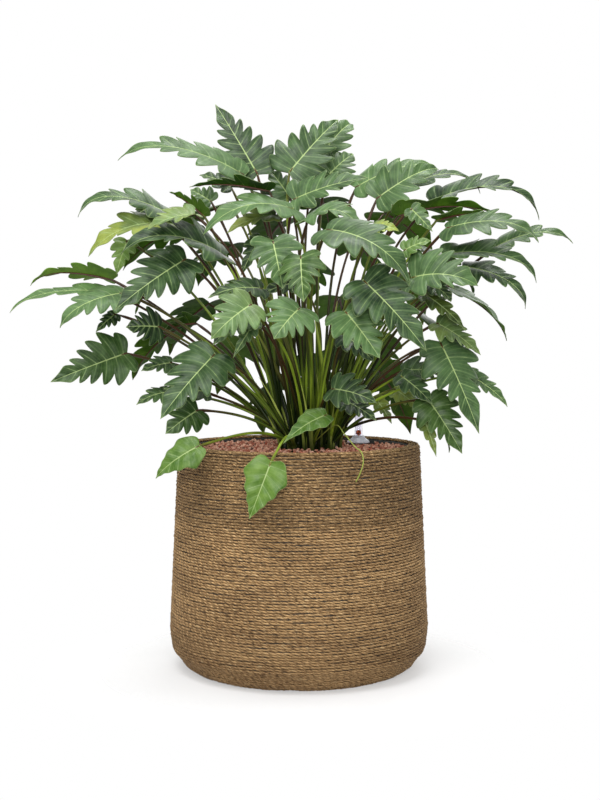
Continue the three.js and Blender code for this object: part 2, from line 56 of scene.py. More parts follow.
# Planter: the outside of its rope and the inside of its core, as radius and height
ROPE = 4
GAP = 0.3
RIM_Z = 330
LIP_R = 160
FOOT_R = 148
OUTSIDE = ((156, 1.5), (171, 11), (176, 19), (187, 32), (190.7, 60), (183.5, 210), (178, 326))
INSIDE = ((0, 14), (152, 14), (174, 56), (168, 245), (160, 325.7))
FILL_Z = 320
ROUND_STEPS = 160

# Water gauge: a clear tube closed at the top and lipped at the foot, a float that hangs free in it, a collar
GAUGE_X, GAUGE_Y = 92, 105
TUBE_R = 6
TUBE_BORE = 4.8
TUBE_FOOT = 20
TUBE_LIP = 1.3
LIP_RISE = 3
TUBE_TOP = 381
TUBE_CAP = 1.6
COLLAR_R = 17.5
COLLAR_FOOT = 321.9
COLLAR_RISE = 11.5
FLOAT_R = 4.2
BOB_LENGTH = 40
ROD_R = 1.2
BEAD_Z = 338
BEAD_HALF = 4

# Crown: rings of short stems as count, radius and where the first one stands
CLUMP = Vector((16, 0, FILL_Z))
STEM_RINGS = ((1, 0, 0), (5, 19, 0.3), (9, 38, 0.1))
STEM_R = 8
STEM_RISE = 16
STEM_SUNK = 14
SCARS = 10
SCAR_STEP = 2.5

# Fronds, as the solids of the shoots have them
PETIOLE_R = 2.7
SEAT = 0.01
LOBE_TIP = 0.6
SINUS = 0.48
END_ROOM = 0.62
HOOK = 0.12
FOLD = 0.3
DROOP = 0.3
WAVE = 0.12
SCALLOP = 0.1
RUFFLE = 0.065
SOLID_BLADE = 1
DEPTH_SHIFTS = (0, -14, 14, -28, 28, -42, 42, -60, 60, -80, 80)
SIDE_BOWS = (0, 24, -24, 48, -48, 72, -72)
FURTHEST_MISS = 5
TOLD_MISS = 1
FAR_FRONDS = 26
GOLDEN = 0.618

# Finer than the solids: the true blade, its quilting between the veins, and a stalk that is sheathed at the
# foot, tapers, swells a little below the blade and runs on under it as a rib
BLADE = 0.7
QUILT = 0.55
FOOT_THICK = 2.7
TOP_THICK = 1.7
FOOT_SWELL = 1.2
TOP_SWELL = 1.25
STALK_STEPS = 22
RIB_STEPS = 10
RIB_FROM = 0.02
RIB_REACH = 0.88
RIB_THIN = 0.15
RIB_THICK = 1.6
SHEATH = 15
# Spears, half short and half tall: the least height and how much more, then the radii from the foot up
SPEARS = 4
SHORT_HEIGHT = (45, 70)
TALL_HEIGHT = (150, 130)
SHORT_SPEAR = (2.2, 2.3, 2.2, 2.1, 1.9, 1.6, 1.1, 0.7, 0.25)
TALL_SPEAR = (2.4, 2.2, 2.0, 1.9, 1.8, 1.8, 2.4, 3.0, 3.2, 2.9, 2.2, 1.4, 0.3)
# Lines of a blade's grid: out along the veins, and from one lobe to the next
OUT_STOPS = (0, 0.06, 0.2, 0.38, 0.56, 0.74, 0.9, 1)
LOBE_STOPS = (0, 0.07, 0.16, 0.27, 0.38, 0.5, 0.6, 0.68, 0.77, 0.86, 0.94)
END_STEPS = 14

# Cord: the length of one twist, steps a turn, the pieces that it is cut into, and its turns' mean radius
CORD_LAY = 20
TURN_STEPS = 330
ROPE_PIECES = 3
TURN_R = 180

# Loose granules: the grid they lie on, how far they stray off it, and how high the proud and the low ones lie
GRAIN = 5.4
ROW_STEP = 0.87
STRAY = 0.3
PROUD_SHARE = 0.36
PROUD = (2.0, 4.2)
LOW = (-2.2, 0.4)

# Light: the room's own, and lamps as name, place and aim in metres, breadth in metres and power in watts
ROOM_LIGHT = 0.44
LAMPS = (
    ("key", (-0.6, -1.5, 2.8), (0, 0, 0.5), 1.6, 46),
    ("top", (0.3, 0.3, 3.0), (0, 0, 0.5), 1.2, 36),
    ("front", (0, -2.8, 1.1), (0, 0, 0.2), 1.2, 36),
    ("back", (0.5, 2.3, 1.8), (0, 0, 0.4), 2.2, 22),
    ("left", (-2.5, 1.2, 1.3), (0, 0, 0.35), 1.8, 12),
    ("right", (2.5, 1.2, 1.3), (0, 0, 0.35), 1.8, 12),
)

# The level eye that the fronds' columns and rows are seen from
EYE = Vector((0, -2000, 490))
PIXELS_A_RADIAN = 1363
EYE_COLUMN = 299
EYE_ROW = 333

# Each frond: name; column, row and depth in mm of its blade's start, then of its tip; half its breadth
# in mm; lobes a side; the turn of its face from the eye in degrees; arch; curl of its tip
FRONDS = (
    ("crown_a", (289, 173, 10), (338, 121, 55), 47, 5, 22, 0.04, 0.1),
    ("crown_b", (258, 175, 20), (216, 106, 70), 42, 5, 15, 0.03, 0),
    ("crown_c", (315, 162, 70), (351, 126, 100), 36, 4, 20, 0.08, 0.5),
    ("crown_d", (326, 178, 40), (353, 155, 60), 34, 4, 30, 0.06, 0.1),
    ("crown_e", (293, 200, -20), (368, 178, -40), 40, 4, 55, 0.05, 0),
    ("crown_f", (291, 199, 40), (269, 170, 60), 26, 3, 20, 0.05, 0),
    ("crown_g", (245, 176, -5), (119, 161, -40), 44, 5, 63, 0.13, 0.3),
    ("crown_h", (270, 191, 10), (190, 187, -5), 34, 4, 108, 0.06, 0),
    ("crown_i", (355, 188, 30), (432, 165, 40), 38, 4, 55, 0.08, 0.1),
    ("crown_j", (376, 199, 0), (438, 170, 20), 38, 4, 35, 0.1, 0.3),
    ("crown_k", (402, 190, 70), (479, 194, 90), 26, 3, 70, 0.2, 0.3),
    ("crown_l", (212, 202, 40), (191, 190, 55), 20, 3, 30, 0.05, 0),
    ("crown_m", (232, 188, 90), (200, 176, 105), 24, 3, 55, 0.08, 0),
    ("left_a", (173, 216, -10), (79, 217, -45), 36, 4, 63, 0.17, 0.5),
    ("left_b", (205, 216, 0), (170, 192, -10), 28, 4, 108, 0.05, 0),
    ("left_c", (168, 223, -40), (89, 256, -75), 40, 4, 60, 0.14, 0.1),
    ("left_d", (226, 256, -60), (121, 254, -115), 48, 4, 60, 0.17, 0.3),
    ("left_e", (187, 258, -90), (115, 309, -140), 46, 5, 33, 0.04, 0),
    ("left_f", (195, 214, -35), (148, 229, -60), 30, 4, 65, 0.08, 0),
    ("left_g", (128, 240, -10), (117, 274, -30), 20, 3, 20, 0.05, 0),
    ("left_h", (113, 279, -10), (31, 285, -40), 36, 4, 108, 0.1, 0.3),
    ("left_i", (112, 291, -40), (10, 312, -85), 26, 3, 66, 0.08, 0.3),
    ("left_j", (125, 292, -80), (60, 327, -125), 36, 4, 48, 0.12, 0.3),
    ("left_k", (160, 326, -70), (126, 326, -90), 28, 4, 20, 0.08, 0),
    ("left_l", (196, 322, 0), (163, 332, -15), 32, 4, 110, 0.08, 0),
    ("left_m", (127, 352, -50), (50, 381, -90), 40, 5, 15, 0.03, 0),
    ("left_n", (215, 353, -110), (160, 418, -160), 46, 4, 30, 0.04, 0),
    ("left_o", (198, 409, -70), (165, 433, -95), 30, 3, 20, 0.06, 0),
    ("left_p", (199, 445, -150), (155, 478, -150), 24, 0, 30, 0.1, 0.1),
    ("left_q", (150, 207, 10), (132, 219, 0), 12, 3, 30, 0.05, 0),
    ("left_r", (116, 313, -20), (96, 331, -35), 14, 3, 30, 0.05, 0),
    ("left_s", (172, 362, -30), (141, 370, -50), 22, 3, 50, 0.06, 0),
    ("left_t", (170, 391, -30), (136, 404, -50), 20, 3, 45, 0.1, 0.1),
    ("left_u", (208, 392, 0), (163, 388, -20), 24, 3, 50, 0.06, 0),
    ("front_a", (293, 209, -70), (203, 235, -125), 46, 4, 62, 0.17, 0.1),
    ("front_b", (308, 219, -80), (361, 228, -115), 40, 4, 66, 0.24, 0.1),
    ("front_c", (326, 229, -125), (410, 285, -170), 46, 4, 45, 0.17, 0.2),
    ("front_d", (273, 240, -150), (283, 288, -180), 36, 4, 5, 0.05, 0),
    ("front_e", (301, 255, -165), (304, 301, -195), 32, 4, -12, 0.05, 0),
    ("front_f", (363, 279, -180), (427, 350, -220), 46, 4, 30, 0.05, 0),
    ("front_g", (252, 303, -190), (211, 338, -210), 36, 4, 25, 0.1, 0),
    ("front_h", (300, 307, -190), (274, 338, -215), 38, 4, 20, 0.1, 0),
    ("front_i", (345, 310, -190), (380, 357, -215), 40, 4, 25, 0.05, 0),
    ("front_j", (332, 388, -130), (377, 402, -150), 30, 4, 35, 0.1, 0),
    ("front_k", (271, 461, -196), (249, 519, -200), 29, 0, 0, 0.03, 0),
    ("front_l", (327, 414, -135), (283, 443, -165), 20, 0, 35, 0.1, 0),
    ("front_m", (263, 288, -130), (208, 297, -155), 28, 4, 58, 0.1, 0),
    ("front_n", (248, 310, -140), (213, 344, -160), 28, 4, 30, 0.05, 0),
    ("front_o", (345, 334, -120), (374, 361, -135), 26, 3, 35, 0.06, 0),
    ("front_p", (300, 281, -20), (262, 293, -40), 22, 3, 40, 0.06, 0),
    ("front_q", (276, 215, -40), (227, 233, -65), 26, 3, 58, 0.1, 0),
    ("front_r", (262, 236, -60), (241, 275, -75), 18, 3, 25, 0.05, 0),
    ("front_s", (372, 229, -60), (399, 231, -75), 16, 3, 40, 0.2, 0.1),
    ("front_t", (345, 400, -90), (377, 420, -105), 22, 3, 45, 0.06, 0),
    ("front_u", (256, 320, -150), (233, 357, -165), 14, 3, 25, 0.04, 0),
    ("right_a", (397, 216, -20), (496, 214, -40), 44, 4, 111, 0.1, 0),
    ("right_b", (430, 202, 0), (538, 220, -25), 40, 5, 68, 0.2, 0.4),
    ("right_c", (436, 220, -10), (496, 216, -35), 28, 4, 104, 0.08, 0),
    ("right_d", (446, 228, -45), (538, 242, -75), 42, 4, 62, 0.14, 0.3),
    ("right_e", (491, 249, -20), (572, 243, -40), 30, 4, 62, 0.15, 0.3),
    ("right_f", (442, 254, -70), (536, 282, -100), 36, 4, 62, 0.14, 0.4),
    ("right_g", (412, 277, -120), (478, 285, -150), 46, 4, 42, 0.15, 0.1),
    ("right_h", (462, 266, -60), (525, 308, -85), 30, 4, 55, 0.16, 0.4),
    ("right_i", (440, 341, -110), (480, 433, -150), 42, 4, 28, 0.04, 0),
    ("right_j", (428, 398, -90), (463, 453, -110), 34, 4, 20, 0.05, 0),
    ("right_k", (424, 293, -90), (466, 330, -110), 20, 3, 45, 0.06, 0),
    ("right_l", (436, 322, -80), (481, 354, -100), 28, 4, 50, 0.06, 0),
    ("right_m", (402, 370, -60), (454, 374, -75), 28, 4, 45, 0.08, 0),
    ("right_n", (401, 375, -95), (433, 404, -110), 24, 3, 40, 0.06, 0),
    ("right_o", (466, 372, -70), (508, 406, -90), 20, 3, 45, 0.06, 0.2),
    ("right_p", (425, 420, -95), (437, 456, -100), 12, 2, 20, 0.05, 0),
    ("right_q", (410, 208, -40), (432, 231, -50), 16, 3, 25, 0.04, 0),
    ("right_r", (404, 250, -100), (431, 240, -105), 18, 3, 45, 0.08, 0),
    ("right_s", (428, 281, -95), (451, 301, -105), 22, 3, 50, 0.06, 0.2),
    ("right_t", (394, 388, -50), (421, 409, -60), 18, 3, 35, 0.06, 0),
    ("right_u", (376, 398, -60), (392, 423, -70), 14, 3, 30, 0.05, 0),
)

# Fronds that are darker or paler than their neighbours: partly their own tone, partly painted light, a minus
# as painted shade and a plus as a painted highlight of the leaf's sheen
SHADE = {"left_d": -0.15, "left_e": -0.15, "left_k": -0.2, "left_l": -0.3, "left_m": -0.15, "left_n": -0.1,
         "left_o": -0.2, "crown_h": -0.2, "crown_b": -0.05, "front_f": -0.1, "front_o": -0.25,
         "front_p": -0.25, "front_r": -0.2, "right_k": -0.2, "left_f": 0.2, "left_h": 0.3, "left_i": 0.3,
         "left_j": 0.35, "front_a": 0.25, "front_b": 0.15, "front_c": 0.1, "front_g": 0.3, "front_h": 0.35,
         "front_i": 0.2, "right_g": 0.2, "crown_a": 0.1, "crown_g": 0.15, "crown_i": 0.2}
# How far a frond is a bright young one, and how far it has turned yellow
YOUNG = {"front_k": 1.0, "front_l": 0.8, "left_p": 0.85, "front_e": 0.3, "left_g": 0.8, "right_j": 0.3,
         "left_o": 0.3, "right_r": 0.5, "left_m": 0.15, "left_h": 0.4}
YELLOW = {"left_c": 0.75, "front_q": 0.8, "front_s": 0.9, "left_f": 0.3, "right_p": 0.7, "right_t": 0.7,
          "right_u": 0.75, "front_g": 0.12, "right_k": 0.35, "right_l": 0.25}

# The root that hangs over the front of the rim
ROOT_PATH = ((50, -92, 362), (62, -140, 354), (76, -166, 338), (84, -183, 332), (86, -188, 318),
             (81, -187, 302), (76, -186, 292))
ROOT_R = 0.85


def set_camera():
    lens = bpy.data.cameras.new("camera")
    lens.lens = lens.sensor_width * CAMERA_PIXELS_A_RADIAN / PICTURE_ROWS
    camera = bpy.data.objects.new("camera", lens)
    camera.location = (CAMERA_SIDE * MM, -CAMERA_AWAY * MM, CAMERA_UP * MM)
    camera.rotation_euler = (math.radians(90 - CAMERA_TIP), 0, 0)
    bpy.context.scene.collection.objects.link(camera)
    bpy.context.scene.camera = camera


# Materials


def linear(hex_colour):
    """An sRGB hex colour as linear red, green and blue."""
    result = []
    for shift in (16, 8, 0):
        value = (hex_colour >> shift & 255) / 255
        result.append(value / 12.92 if value <= 0.04045 else ((value + 0.055) / 1.055) ** 2.4)
    return (*result, 1)


# The output that is taken of a kind of node, and its settings, where a call names no others
USUAL_OUT = {"Mix": 2, "TexNoise": "Fac", "Attribute": "Fac", "TexCoord": "Object"}
USUAL = {"Mix": {"data_type": "RGBA"}, "Math": {"operation": "MULTIPLY"}}
SMOOTH = {"interpolation_type": "SMOOTHSTEP"}


def add(tree, kind, inputs=None, out=None, **settings):
    """Adds a node; each input gets a value, a hex colour or another node's output, and out is returned."""
    node = tree.nodes.new("ShaderNode" + kind)
    for name, value in {**USUAL.get(kind, {}), **settings}.items():
        setattr(node, name, value)
    for key, value in (inputs or {}).items():
        socket = node.inputs[key]
        if isinstance(value, bpy.types.NodeSocket):
            tree.links.new(value, socket)
        else:
            socket.default_value = linear(value) if socket.type == "RGBA" else value
    return node.outputs[USUAL_OUT.get(kind, 0) if out is None else out]


def start_material(name, **sockets):
    """A material whose shader has these sockets set, their names written with underscores, and its nodes."""
    material = bpy.data.materials.new(name)
    material.use_nodes = True
    shader = material.node_tree.nodes["Principled BSDF"]
    for socket, value in sockets.items():
        shader.inputs[socket.replace("_", " ")].default_value = value
    return material, material.node_tree


def link_up(material, height=None, depth=0, **links):
    """Links outputs to the shader's sockets, and a relief of this height map that is depth mm deep."""
    tree = material.node_tree
    if height is not None:
        links["Normal"] = add(tree, "Bump", {"Height": height, "Distance": depth * MM, "Strength": 1.0})
    for socket, output in links.items():
        tree.links.new(output, tree.nodes["Principled BSDF"].inputs[socket.replace("_", " ")])
    return material


def leaf_lines(tree, rib_half, vein_half):
    """Masks of the midrib, which narrows to the tip, of the side veins, of the fine ones between them, and
    of the half of the leaf where they are in relief."""
    rib, vein, along, place = [add(tree, "Attribute", attribute_name=name)
                               for name in ("rib_mm", "vein_mm", "along", "place")]
    narrow = add(tree, "Math", {0: along, 1: -0.8, 2: 1.0}, operation="MULTIPLY_ADD")
    rib = add(tree, "Math", {0: rib, 1: narrow}, operation="DIVIDE")
    ribs = add(tree, "MapRange", {"Value": rib, 1: rib_half, 2: rib_half + 0.7, 3: 1.0, 4: 0.0}, **SMOOTH)
    veins = add(tree, "MapRange", {"Value": vein, 1: vein_half, 2: vein_half + 0.5, 3: 1.0, 4: 0.0}, **SMOOTH)
    fine = add(tree, "Math", {0: place, 1: 4.0})
    fine = add(tree, "Math", {0: fine, 1: 0.5}, operation="PINGPONG")
    fine = add(tree, "MapRange", {"Value": fine, 1: 0.02, 2: 0.16, 3: 1.0, 4: 0.0}, **SMOOTH)
    fade = add(tree, "MapRange", {"Value": along, 1: 0.7, 2: 0.9, 3: 1.0, 4: 0.0}, **SMOOTH)
    veins, fine = [add(tree, "Math", {0: mask, 1: fade}) for mask in (veins, fine)]
    relief = add(tree, "MapRange", {"Value": along, 1: 0.25, 2: 0.5, 3: 1.0, 4: 0.0}, **SMOOTH)
    return ribs, veins, fine, relief


def tissue(tree, *tones):
    """The leaf's green in soft patches, moved darker or paler by its shade, which is partly painted shade and
    painted highlight: mature, then young, then yellow, each dark and light.
    """
    shade, youth, age = [add(tree, "Attribute", attribute_name=name) for name in ("shade", "young", "yellow")]
    place = add(tree, "TexCoord")
    patches = add(tree, "TexNoise", {"Vector": place, "Scale": 40.0, "Detail": 6.0, "Roughness": 0.68})
    patches = add(tree, "MapRange", {"Value": patches, 1: 0.3, 2: 0.7, 3: 0.02, 4: 0.52})
    amount = add(tree, "Math", {0: patches, 1: shade}, operation="ADD", use_clamp=True)
    mature, young, yellow = [add(tree, "Mix", {0: amount, 6: dark, 7: light})
                             for dark, light in zip(tones[::2], tones[1::2])]
    green = add(tree, "Mix", {0: youth, 6: mature, 7: young})
    blotches = add(tree, "TexNoise", {"Vector": place, "Scale": 22.0, "Detail": 2.0})
    blotches = add(tree, "MapRange", {"Value": blotches, 1: 0.35, 2: 0.6, 3: 0.25, 4: 1.0}, **SMOOTH)
    age = add(tree, "Math", {0: age, 1: blotches})
    return add(tree, "Mix", {0: age, 6: green, 7: yellow})


def leaf_face():
    """Upper face of a leaf: grown with a waxy skin, so it is satin and blue grey, its veins sunk and pale."""
    material, tree = start_material("waxy_leaf_upper_face", Sheen_Weight=0.03, Sheen_Roughness=0.5,
                                    Specular_IOR_Level=0.3)
    green = tissue(tree, 0x102A10, 0x6A8E54, 0x426A18, 0x9CBC5A, 0x7A8E30, 0xD0D468)
    edge, near_vein = [add(tree, "Attribute", attribute_name=name) for name in ("edge_mm", "vein_mm")]
    band = add(tree, "MapRange", {"Value": near_vein, 1: 0.5, 2: 3.5, 3: 0.2, 4: 0.0}, **SMOOTH)
    green = add(tree, "Mix", {0: band, 6: green, 7: 0x7E9C66})
    ribs, veins, fine, relief = leaf_lines(tree, 0.8, 0.25)
    pale = add(tree, "MapRange", {"Value": edge, 1: 0.3, 2: 1.0, 3: 0.35, 4: 0.0}, **SMOOTH)
    for mask, strength in ((ribs, 0.8), (veins, 0.56), (fine, 0.09)):
        line = add(tree, "Math", {0: mask, 1: strength})
        pale = add(tree, "Math", {0: pale, 1: line}, operation="MAXIMUM")
    colour = add(tree, "Mix", {0: pale, 6: green, 7: 0xB2C882})
    place = add(tree, "TexCoord")
    wax = add(tree, "TexNoise", {"Vector": place, "Scale": 120.0, "Detail": 3.0})
    gloss = add(tree, "MapRange", {"Value": wax, 1: 0.3, 2: 0.7, 3: 0.34, 4: 0.46})
    cells = add(tree, "TexNoise", {"Vector": place, "Scale": 700.0, "Detail": 2.0})
    cells = add(tree, "Math", {0: cells, 1: 0.08})
    sunk = add(tree, "Math", {0: ribs, 1: veins}, operation="MAXIMUM")
    sunk = add(tree, "Math", {0: sunk, 1: relief})
    height = add(tree, "Math", {0: cells, 1: sunk}, operation="SUBTRACT")
    return link_up(material, height, 0.3, Base_Color=colour, Roughness=gloss)


def leaf_back():
    """Under face of a leaf: no wax, so it is a duller, yellower green, painted lighter as painted light
    shining through the thin leaf, its ribs raised and red brown.
    """
    material, tree = start_material("leaf_under_face", Roughness=0.55, Specular_IOR_Level=0.2)
    # painted light: these greens are lighter than the under face's own, for light that shines through the
    # thin leaf
    green = tissue(tree, 0x2A4E0A, 0x7CAC34, 0x4A7A1E, 0xA0C85A, 0x7A8A26, 0xC4CE58)
    ribs, veins, fine, relief = leaf_lines(tree, 1.0, 0.3)
    faint = add(tree, "Math", {0: veins, 1: 0.5})
    colour = add(tree, "Mix", {0: faint, 6: green, 7: 0x88A04C})
    colour = add(tree, "Mix", {0: ribs, 6: colour, 7: 0x5E3228})
    thin = add(tree, "Math", {0: fine, 1: 0.3})
    raised = add(tree, "Math", {0: ribs, 1: veins}, operation="MAXIMUM")
    raised = add(tree, "Math", {0: raised, 1: thin}, operation="MAXIMUM")
    height = add(tree, "Math", {0: raised, 1: relief})
    return link_up(material, height, 0.4, Base_Color=colour)


def petiole_rind():
    """Leaf stalk: smooth living rind with a soft shine, brighter green above its foot and flushed purple
    brown towards the blade,
    all in long streaks, with painted shade: dark green painted on its foot where the stalks crowd; a leaf
    still rolled up is a fresh yellow green."""
    material, tree = start_material("smooth_petiole_rind", Roughness=0.34, Specular_IOR_Level=0.32)
    around, along, shade, spear, midrib = [add(tree, "Attribute", attribute_name=name)
                                           for name in ("around", "along", "shade", "spear", "midrib")]
    streaks = add(tree, "CombineXYZ", {"X": around, "Y": along, "Z": shade})
    streaks = add(tree, "Mapping", {"Vector": streaks, "Scale": (5.0, 6.0, 40.0)})
    streaks = add(tree, "TexNoise", {"Vector": streaks, "Scale": 1.0, "Detail": 3.0})
    mixed = add(tree, "Math", {0: shade, 1: 0.9, 2: streaks}, operation="MULTIPLY_ADD")
    green = add(tree, "MapRange", {"Value": mixed, 1: 0.4, 2: 1.45, 3: 0.0, 4: 1.0})
    green = add(tree, "Math", {0: green, 1: 3.2}, operation="POWER")
    colour = add(tree, "Mix", {0: green, 6: 0x0E2003, 7: 0xA6C43C})
    brown = add(tree, "Mix", {0: streaks, 6: 0x2A180C, 7: 0x5E4024})
    fresh = add(tree, "Mix", {0: streaks, 6: 0x84962E, 7: 0xBECA6A})
    reach = add(tree, "Math", {0: shade, 1: 0.55, 2: 0.16}, operation="MULTIPLY_ADD")
    past = add(tree, "Math", {0: along, 1: reach}, operation="SUBTRACT")
    flush = add(tree, "Math", {0: past, 1: 2.2}, use_clamp=True)
    # painted shade: the stalks' feet, crowded together at the clump, painted dark green
    foot = add(tree, "MapRange", {"Value": along, 1: 0.05, 2: 0.3, 3: 0.85, 4: 0.0}, **SMOOTH)
    for share, tone in ((flush, brown), (spear, fresh), (foot, 0x0E1C04), (midrib, 0x5E3A2A)):
        colour = add(tree, "Mix", {0: share, 6: colour, 7: tone})
    return link_up(material, streaks, 0.08, Base_Color=colour)


def seagrass_cord():
    """Seagrass cord: dried blades twisted in two plies, matt straw and brown, with painted shade in the
    grooves between the plies and on its lowest turns near the floor, and pale and dark flecks that are partly
    blades of that tone and partly painted highlights and painted shade.
    """
    material, tree = start_material("twisted_seagrass_cord", Roughness=0.8, Specular_IOR_Level=0.25)
    length, around = [add(tree, "Attribute", attribute_name=name) for name in ("length_mm", "around")]
    lay = add(tree, "Math", {0: length, 1: 2 * math.pi / CORD_LAY})
    turn = add(tree, "Math", {0: around, 1: -2 * math.pi, 2: lay}, operation="MULTIPLY_ADD")
    plies = add(tree, "Math", {0: turn}, operation="SINE")
    plies = add(tree, "Math", {0: plies}, operation="ABSOLUTE")
    twisted = add(tree, "Math", {0: length, 1: -1 / CORD_LAY, 2: around}, operation="MULTIPLY_ADD")
    blades = add(tree, "CombineXYZ", {"X": length, "Y": twisted})
    place = add(tree, "TexCoord")
    noises = []
    for way, stretch, scale, detail, rough in ((blades, (0.09, 1.6, 1.0), 1.0, 4.0, 0.7),
                                               (blades, (0.14, 9.0, 1.0), 1.0, 3.0, 0.6),
                                               (place, (1.0, 1.0, 5.0), 7.0, 3.0, 0.6)):
        way = add(tree, "Mapping", {"Vector": way, "Scale": stretch})
        look = {"Vector": way, "Scale": scale, "Detail": detail, "Roughness": rough}
        noises.append(add(tree, "TexNoise", look))
    tufts, fibres, batches = noises
    mixed = add(tree, "Math", {0: batches, 1: 0.3, 2: fibres}, operation="MULTIPLY_ADD")
    straw = add(tree, "MapRange", {"Value": mixed, 1: 0.48, 2: 0.8, 3: 0.0, 4: 1.0})
    colour = add(tree, "Mix", {0: straw, 6: 0x5C3E24, 7: 0xDEB680})
    # flecks that are partly pale and dark blades, partly painted highlights and painted shade in the gaps
    # among the blades
    pale = add(tree, "MapRange", {"Value": tufts, 1: 0.56, 2: 0.68, 3: 0.0, 4: 0.7}, **SMOOTH)
    dark = add(tree, "MapRange", {"Value": tufts, 1: 0.34, 2: 0.44, 3: 0.8, 4: 0.0}, **SMOOTH)
    # painted shade in the grooves between the two plies
    ply_groove_shade = add(tree, "MapRange", {"Value": plies, 1: 0.0, 2: 0.4, 3: 0.8, 4: 0.0}, **SMOOTH)
    # painted shade: the cord painted darker towards the floor
    up = add(tree, "SeparateXYZ", {0: place}, "Z")
    painted_low_shade = add(tree, "MapRange", {"Value": up, 1: 0.0, 2: 0.15, 3: 0.4, 4: 0.0}, **SMOOTH)
    for share, tone in ((pale, 0xE8C896), (dark, 0x3E2C1A), (ply_groove_shade, 0x46321E), (painted_low_shade, 0x4E3620)):
        colour = add(tree, "Mix", {0: share, 6: colour, 7: tone})
    height = add(tree, "Math", {0: fibres, 1: 0.3, 2: plies}, operation="MULTIPLY_ADD")
    return link_up(material, height, 1.1, Base_Color=colour)


def fired_clay():
    """Granules: expanded fired clay, crushed, so every face is matt and open-pored, brick to pale pink."""
    material, tree = start_material("crushed_fired_clay", Roughness=0.93, Specular_IOR_Level=0.2)
    place = add(tree, "TexCoord")
    pores = add(tree, "TexNoise", {"Vector": place, "Scale": 900.0, "Detail": 4.0, "Roughness": 0.7})
    shade = add(tree, "Attribute", attribute_name="shade")
    clay = add(tree, "Mix", {0: shade, 6: 0xB0604A, 7: 0xFFD0B4})
    darker = add(tree, "MapRange", {"Value": pores, 1: 0.35, 2: 0.6, 3: 0.35, 4: 0.0}, **SMOOTH)
    colour = add(tree, "Mix", {0: darker, 6: clay, 7: 0x843E2E})
    return link_up(material, pores, 0.5, Base_Color=colour)


def clear_acrylic():
    """Gauge tube: extruded clear acrylic, which shows by its edges and highlights."""
    material, tree = start_material("extruded_clear_acrylic", Roughness=0.05, IOR=1.49,
                                    Transmission_Weight=1.0)
    place = add(tree, "TexCoord")
    haze = add(tree, "TexNoise", {"Vector": place, "Scale": 150.0, "Detail": 2.0})
    return link_up(material, Base_Color=add(tree, "Mix", {0: haze, 6: 0xE4E2EC, 7: 0xF4F2F8}))


def grained(name, roughness, scale, detail, tones, depth):
    """A material that is one grain in two tones, which is also its relief, depth mm deep."""
    material, tree = start_material(name, Roughness=roughness)
    place = add(tree, "TexCoord")
    grain = add(tree, "TexNoise", {"Vector": place, "Scale": scale, "Detail": detail})
    colour = add(tree, "Mix", {0: grain, 6: tones[0], 7: tones[1]})
    return link_up(material, grain, depth, Base_Color=colour)


def moulded_core():
    """Planter core: moulded fibre-filled plastic, matt dark grey with a faintly pitted skin."""
    return grained("moulded_fibre_plastic_dark_grey", 0.8, 800.0, 4.0, (0x3C3C3A, 0x575755), 0.3)


def clay_bed():
    """Filling below the loose granules: the same fired clay, dull, and painted dark as painted shade of the
    granules over it.
    """
    return grained("fired_clay_in_shade", 0.95, 260.0, 5.0, (0x1E0E0A, 0x6A3426), 1.5)


def moulded_plastic(name, tones):
    """Small gauge piece: injection-moulded plastic, even in colour, softly shiny, with the faintest grain."""
    return grained(name, 0.3, 500.0, 3.0, tones, 0.05)


# Meshes


def stand(name, bm, *materials):
    """Puts an object of this mesh and these materials in the scene."""
    mesh = bpy.data.meshes.new(name)
    bm.to_mesh(mesh)
    bm.free()
    for material in materials:
        mesh.materials.append(material)
    piece = bpy.data.objects.new(name, mesh)
    bpy.context.scene.collection.objects.link(piece)
    return piece


def finish_piece(name, bm, slot, *nodes, materials, smooth=True):
    """Makes a piece of the mesh, riding on the object's one body and standing for these solids."""
    for face in bm.faces:
        face.smooth = smooth
    piece = stand(name, bm, *materials)
    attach(piece, "root")
    if nodes:
        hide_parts(*nodes)
    return piece


def turn_piece(name, slot, node, profile, steps, material, x=0, y=0):
    """A piece turned from a profile of radius and height pairs, round the upright axis at (x, y)."""
    bm = bmesh.new()
    line = [bm.verts.new(((x + r) * MM, y * MM, z * MM)) for r, z in profile]
    line += [bm.edges.new(pair) for pair in zip(line, line[1:])]
    bmesh.ops.spin(bm, geom=line, cent=(x * MM, y * MM, 0), axis=(0, 0, 1), dvec=(0, 0, 0),
                   angle=2 * math.pi, steps=steps, use_merge=True)
    bmesh.ops.remove_doubles(bm, verts=bm.verts, dist=0.00001)
    bmesh.ops.recalc_face_normals(bm, faces=bm.faces)
    finish_piece(name, bm, slot, node, materials=[material])


def rounded(points, radius, count=3):
    """A profile with the corners between its ends rounded."""
    result = [points[0]]
    for before, corner, after in zip(points, points[1:], points[2:]):
        before, corner, after = Vector(before), Vector(corner), Vector(after)
        reach = min(radius, 0.4 * (before - corner).length, 0.4 * (after - corner).length)
        start = corner + reach * (before - corner).normalized()
        end = corner + reach * (after - corner).normalized()
        for i in range(count + 1):
            t = i / count
            result.append(tuple((1 - t) ** 2 * start + 2 * t * (1 - t) * corner + t * t * end))
    return result + [points[-1]]


def trait_layers(bm, names):
    """The float layers of these names; made before any corner, as making one drops hold of the corners."""
    for name in names:
        if name not in bm.verts.layers.float:
            bm.verts.layers.float.new(name)
    return {name: bm.verts.layers.float[name] for name in names}


